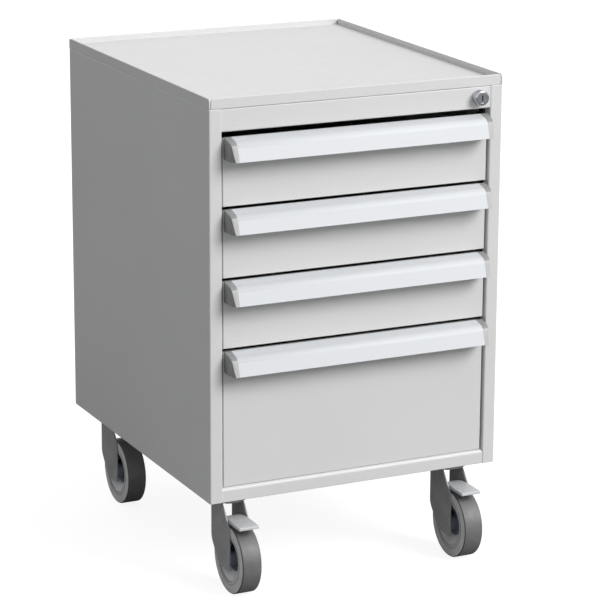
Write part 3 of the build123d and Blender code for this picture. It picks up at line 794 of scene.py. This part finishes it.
def make_front(number):
    """Front of a drawer: a pan of sheet, open at the back, with rounded front edges."""
    low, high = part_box(f"drawer_front_{number}")
    left = low.x - front_spread
    right = high.x + front_spread
    depth = high.y - low.y
    mesh = bmesh.new()
    outline_face(mesh, [(left, low.y, low.z), (right, low.y, low.z),
                        (right, low.y, high.z), (left, low.y, high.z)])
    draw_out(mesh, (0, depth, 0))
    back = [face for face in mesh.faces if face.normal.y > facing]
    bmesh.ops.inset_region(mesh, faces=back, thickness=front_sheet, use_even_offset=True)
    bmesh.ops.inset_region(mesh, faces=back, thickness=close_by, depth=front_sheet - depth,
                           use_even_offset=True)
    front = [edge for edge in mesh.edges if max(vert.co.y for vert in edge.verts) < low.y + close_by]
    round_edges(mesh, front, front_edge)
    add_piece(f"folded_front_{number}", mesh, f"drawer_{number}", "cabinet_paint", [f"drawer_front_{number}"])


def make_caps(number):
    """End caps of a handle: the hood's outline drawn out, narrowing in a curve towards the front."""
    heel, shoulder, lip, _, right = handle_line(number)
    _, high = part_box(f"handle_caps_{number}")
    foot = Vector((0, heel.y, lip.z))
    mesh = bmesh.new()
    outline_face(mesh, [lip, foot, heel, shoulder])
    round_bends(mesh, ((foot, cap_foot_cut, cap_foot_steps), *hood_bends(heel, shoulder)))
    bmesh.ops.translate(mesh, verts=mesh.verts, vec=(right, 0, 0))
    draw_out(mesh, (high.x - right, 0, 0))
    reach = heel.y - lip.y
    for share in cap_slices:
        slice_across(mesh, (0, heel.y - reach * share, 0))
    for vert in mesh.verts:
        if vert.co.x > high.x - close_by:
            vert.co.x -= cap_narrowing * ((heel.y - vert.co.y) / reach) ** cap_curve
    rim = [edge for edge in sharp_edges(mesh, cap_sharp_angle)
           if min(vert.co.x for vert in edge.verts) > right + well_past
           and not (edge.verts[0].co.y == edge.verts[1].co.y == heel.y)]
    round_edges(mesh, rim, cap_edge)
    mirror_over(mesh)
    # Faces turned to the front take the lighter cap grey as a painted highlight, the rest the cap's own grey
    for face in mesh.faces:
        face.material_index = 1 if face.normal.y < -cap_lit_front_facing else 0
    add_piece(f"moulded_caps_{number}", mesh, f"drawer_{number}", "cap_plastic", [f"handle_caps_{number}"],
              [finishes["cap_plastic"], cap_front_painted_light])


def add_rim(mesh, length, height, place, turn):
    """One hemmed rim of the tray, rounded at its upper corners and along its edges."""
    rim = bmesh.new()
    half = length / 2
    outline_face(rim, [(-half, 0, 0), (half, 0, 0), (half, 0, height), (-half, 0, height)])
    upper = [vert for vert in rim.verts if vert.co.z > height / 2]
    round_corners(rim, upper, rim_corner, rim_corner_steps)
    draw_out(rim, (0, rim_hem, 0))
    round_edges(rim, sharp_edges(rim, sharp_angle), rim_edge)
    settled = Matrix.Translation(place) @ Matrix.Rotation(turn, 4, "Z")
    bmesh.ops.transform(rim, matrix=settled, verts=rim.verts)
    join(mesh, rim)


def make_tray():
    """Top tray: a floor sheet, two rims along the sides and two shorter ones between them."""
    low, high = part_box("top_tray")
    middle = (low + high) / 2
    height = high.z - low.z
    width = high.x - low.x
    depth = high.y - low.y
    mesh = bmesh.new()
    floor_z = high.z - tray_floor_depth
    inset = rim_hem - rim_overlap
    outline_face(mesh, [(low.x + inset, low.y + inset, floor_z), (high.x - inset, low.y + inset, floor_z),
                        (high.x - inset, high.y - inset, floor_z), (low.x + inset, high.y - inset, floor_z)])
    draw_out(mesh, (0, 0, -tray_sheet))
    between = width - 2 * (rim_hem + rim_slit)
    add_rim(mesh, between, height, (middle.x, low.y, low.z), 0)
    add_rim(mesh, between, height, (middle.x, high.y, low.z), math.pi)
    add_rim(mesh, depth, height, (low.x, middle.y, low.z), -math.pi / 2)
    add_rim(mesh, depth, height, (high.x, middle.y, low.z), math.pi / 2)
    add_piece("folded_tray", mesh, "cabinet", "cabinet_paint", ["top_tray"])


def make_pedal(place):
    """Brake pedal: a tread plate hollow below, with rounded edges and corners, on a steel pin."""
    low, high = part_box(f"brake_pedal_{place}")
    axle_low, axle_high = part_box(f"axle_{place}")
    _, tyre_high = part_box(f"tyre_{place}")
    axle = (axle_low + axle_high) / 2
    behind, above = pedal_pin
    pin = Vector((axle.x, axle.y + behind, tyre_high.z + above))
    mesh = bmesh.new()
    outline_face(mesh, [pin + Vector((-pedal_half_width, y, z)) for y, z in pedal_side])
    draw_out(mesh, (2 * pedal_half_width, 0, 0))
    slice_across(mesh, pin - Vector((0, pedal_stem_reach, 0)))
    for vert in mesh.verts:
        if vert.co.y > pin.y - pedal_stem_reach + well_past:
            vert.co.x = pin.x + math.copysign(pedal_stem_half, vert.co.x - pin.x)
    lip = [edge for edge in mesh.edges if all(vert.co.y < pin.y - pedal_lip_start for vert in edge.verts)
           and abs(edge.verts[0].co.z - edge.verts[1].co.z) > pedal_lip_height]
    round_edges(mesh, lip, pedal_corner, pedal_corner_steps)
    below = [face for face in mesh.faces if face.normal.z < -facing]
    bmesh.ops.inset_region(mesh, faces=below, thickness=pedal_wall, use_even_offset=True)
    hollow = list({vert for face in below for vert in face.verts})
    bmesh.ops.translate(mesh, verts=hollow, vec=(0, 0, pedal_wall / 2))
    upper = [edge for edge in sharp_edges(mesh, pedal_sharp_angle)
             if max(vert.co.z for vert in edge.verts) > pin.z + pedal_top_start]
    round_edges(mesh, upper, pedal_edge)
    add_piece(f"moulded_pedal_{place}", mesh, f"pedal_{place}", "pedal_plastic", [f"brake_pedal_{place}"])
    make_pedal_pin(place, pin, low.x - axle.x, high.x - axle.x)


def make_pedal_pin(place, pin, left, right):
    """Steel pin of a brake pedal, from its left to its right end."""
    mesh = bmesh.new()
    section = [(left, 0), (left, pedal_pin_radius), (right, pedal_pin_radius), (right, 0)]
    outline_face(mesh, [pin + Vector((x, 0, radius)) for x, radius in section])
    ends = [vert for vert in mesh.verts if vert.co.z > pin.z + close_by]
    round_corners(mesh, ends, pedal_pin_edge, pedal_pin_edge_steps)
    turn_round(mesh, pin, (1, 0, 0), pedal_pin_steps)
    add_piece(f"pedal_pin_{place}", mesh, f"pedal_{place}", "caster_steel")


def make_race_covers():
    """Pressed covers round the casters' ball races."""
    plates_low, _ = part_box("caster_plates")
    pins_low, pins_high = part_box("king_pins")
    top = plates_low.z + race_height
    for place in casters:
        x = pins_low.x + king_pin_radius if "left" in place else pins_high.x - king_pin_radius
        y = pins_low.y + king_pin_radius if "front" in place else pins_high.y - king_pin_radius
        inner = x + race_radius
        outer = inner + race_cover
        mesh = bmesh.new()
        outline_face(mesh, [(inner, y, plates_low.z), (outer, y, plates_low.z),
                            (outer, y, top), (inner, y, top)])
        turn_round(mesh, (x, y, 0), (0, 0, 1), race_steps)
        add_piece(f"race_cover_{place}", mesh, "cabinet", "caster_steel")


def make_screws(number):
    """Pan-head screws that hold a drawer's rails to its box."""
    low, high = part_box(f"drawer_rails_{number}")
    z = (low.z + high.z) / 2
    top = screw_seat + screw_rise
    mesh = bmesh.new()
    for along in screw_places:
        y = low.y + along
        screw = bmesh.new()
        outline_face(screw, [(screw_seat, y, z), (screw_seat, y, z + screw_radius),
                             (top, y, z + screw_radius), (top, y, z)])
        crown = [vert for vert in screw.verts
                 if vert.co.x > screw_seat + close_by and vert.co.z > z + close_by]
        round_corners(screw, crown, screw_rise * screw_crown, screw_crown_steps)
        turn_round(screw, (screw_seat, y, z), (1, 0, 0), screw_steps)
        join(mesh, screw)
    mirror_over(mesh)
    add_piece(f"rail_screws_{number}", mesh, f"drawer_{number}", "zinc_steel")


def add_prism(mesh, x, y, bottom, top, radius, sides):
    """An upright prism with softened ends."""
    prism = bmesh.new()
    bmesh.ops.create_cone(prism, cap_ends=True, cap_tris=False, segments=sides,
                          radius1=radius, radius2=radius, depth=top - bottom,
                          matrix=Matrix.Translation((x, y, (bottom + top) / 2)))
    ends = [edge for edge in prism.edges if edge.verts[0].co.z == edge.verts[1].co.z]
    round_edges(prism, ends, bolt_edge, bolt_edge_steps)
    join(mesh, prism)


def make_bolts():
    """Hexagon bolts on the base panel, with flat nuts under the caster plates."""
    low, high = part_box("caster_plates")
    bolts_low, bolts_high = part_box("caster_bolts")
    plate_z = bolts_low.z + bolt_nut_room
    nut_z = plate_z - bolt_nut
    across = [low.x + bolt_inset, low.x + bolt_inset + bolt_spacing]
    across += [-x for x in across]
    along = [low.y + bolt_inset, low.y + bolt_inset + bolt_spacing,
             high.y - bolt_inset - bolt_spacing, high.y - bolt_inset]
    mesh = bmesh.new()
    for x in across:
        for y in along:
            add_prism(mesh, x, y, nut_z - bolt_end, bolts_high.z - bolt_edge, bolt_radius, bolt_steps)
            add_prism(mesh, x, y, bolts_high.z - bolt_head, bolts_high.z, bolt_hexagon, hexagon_sides)
            add_prism(mesh, x, y, nut_z, plate_z, bolt_hexagon, hexagon_sides)
    add_piece("hexagon_bolts", mesh, "cabinet", "zinc_steel", ["caster_bolts"])


make_tray()
make_bolts()
make_bottom_rail()
make_top_rail()
make_lock_collar()
for number in drawers:
    make_front(number)
    make_handle(number)
    make_caps(number)
    make_screws(number)
for place in casters:
    make_tyre(place)
    make_hub(place)
for place in braked_casters:
    make_pedal(place)
make_race_covers()
dress_nodes()
place_camera()
light_studio()
lay_floor()
bpy.context.scene.view_settings.view_transform = "Standard"
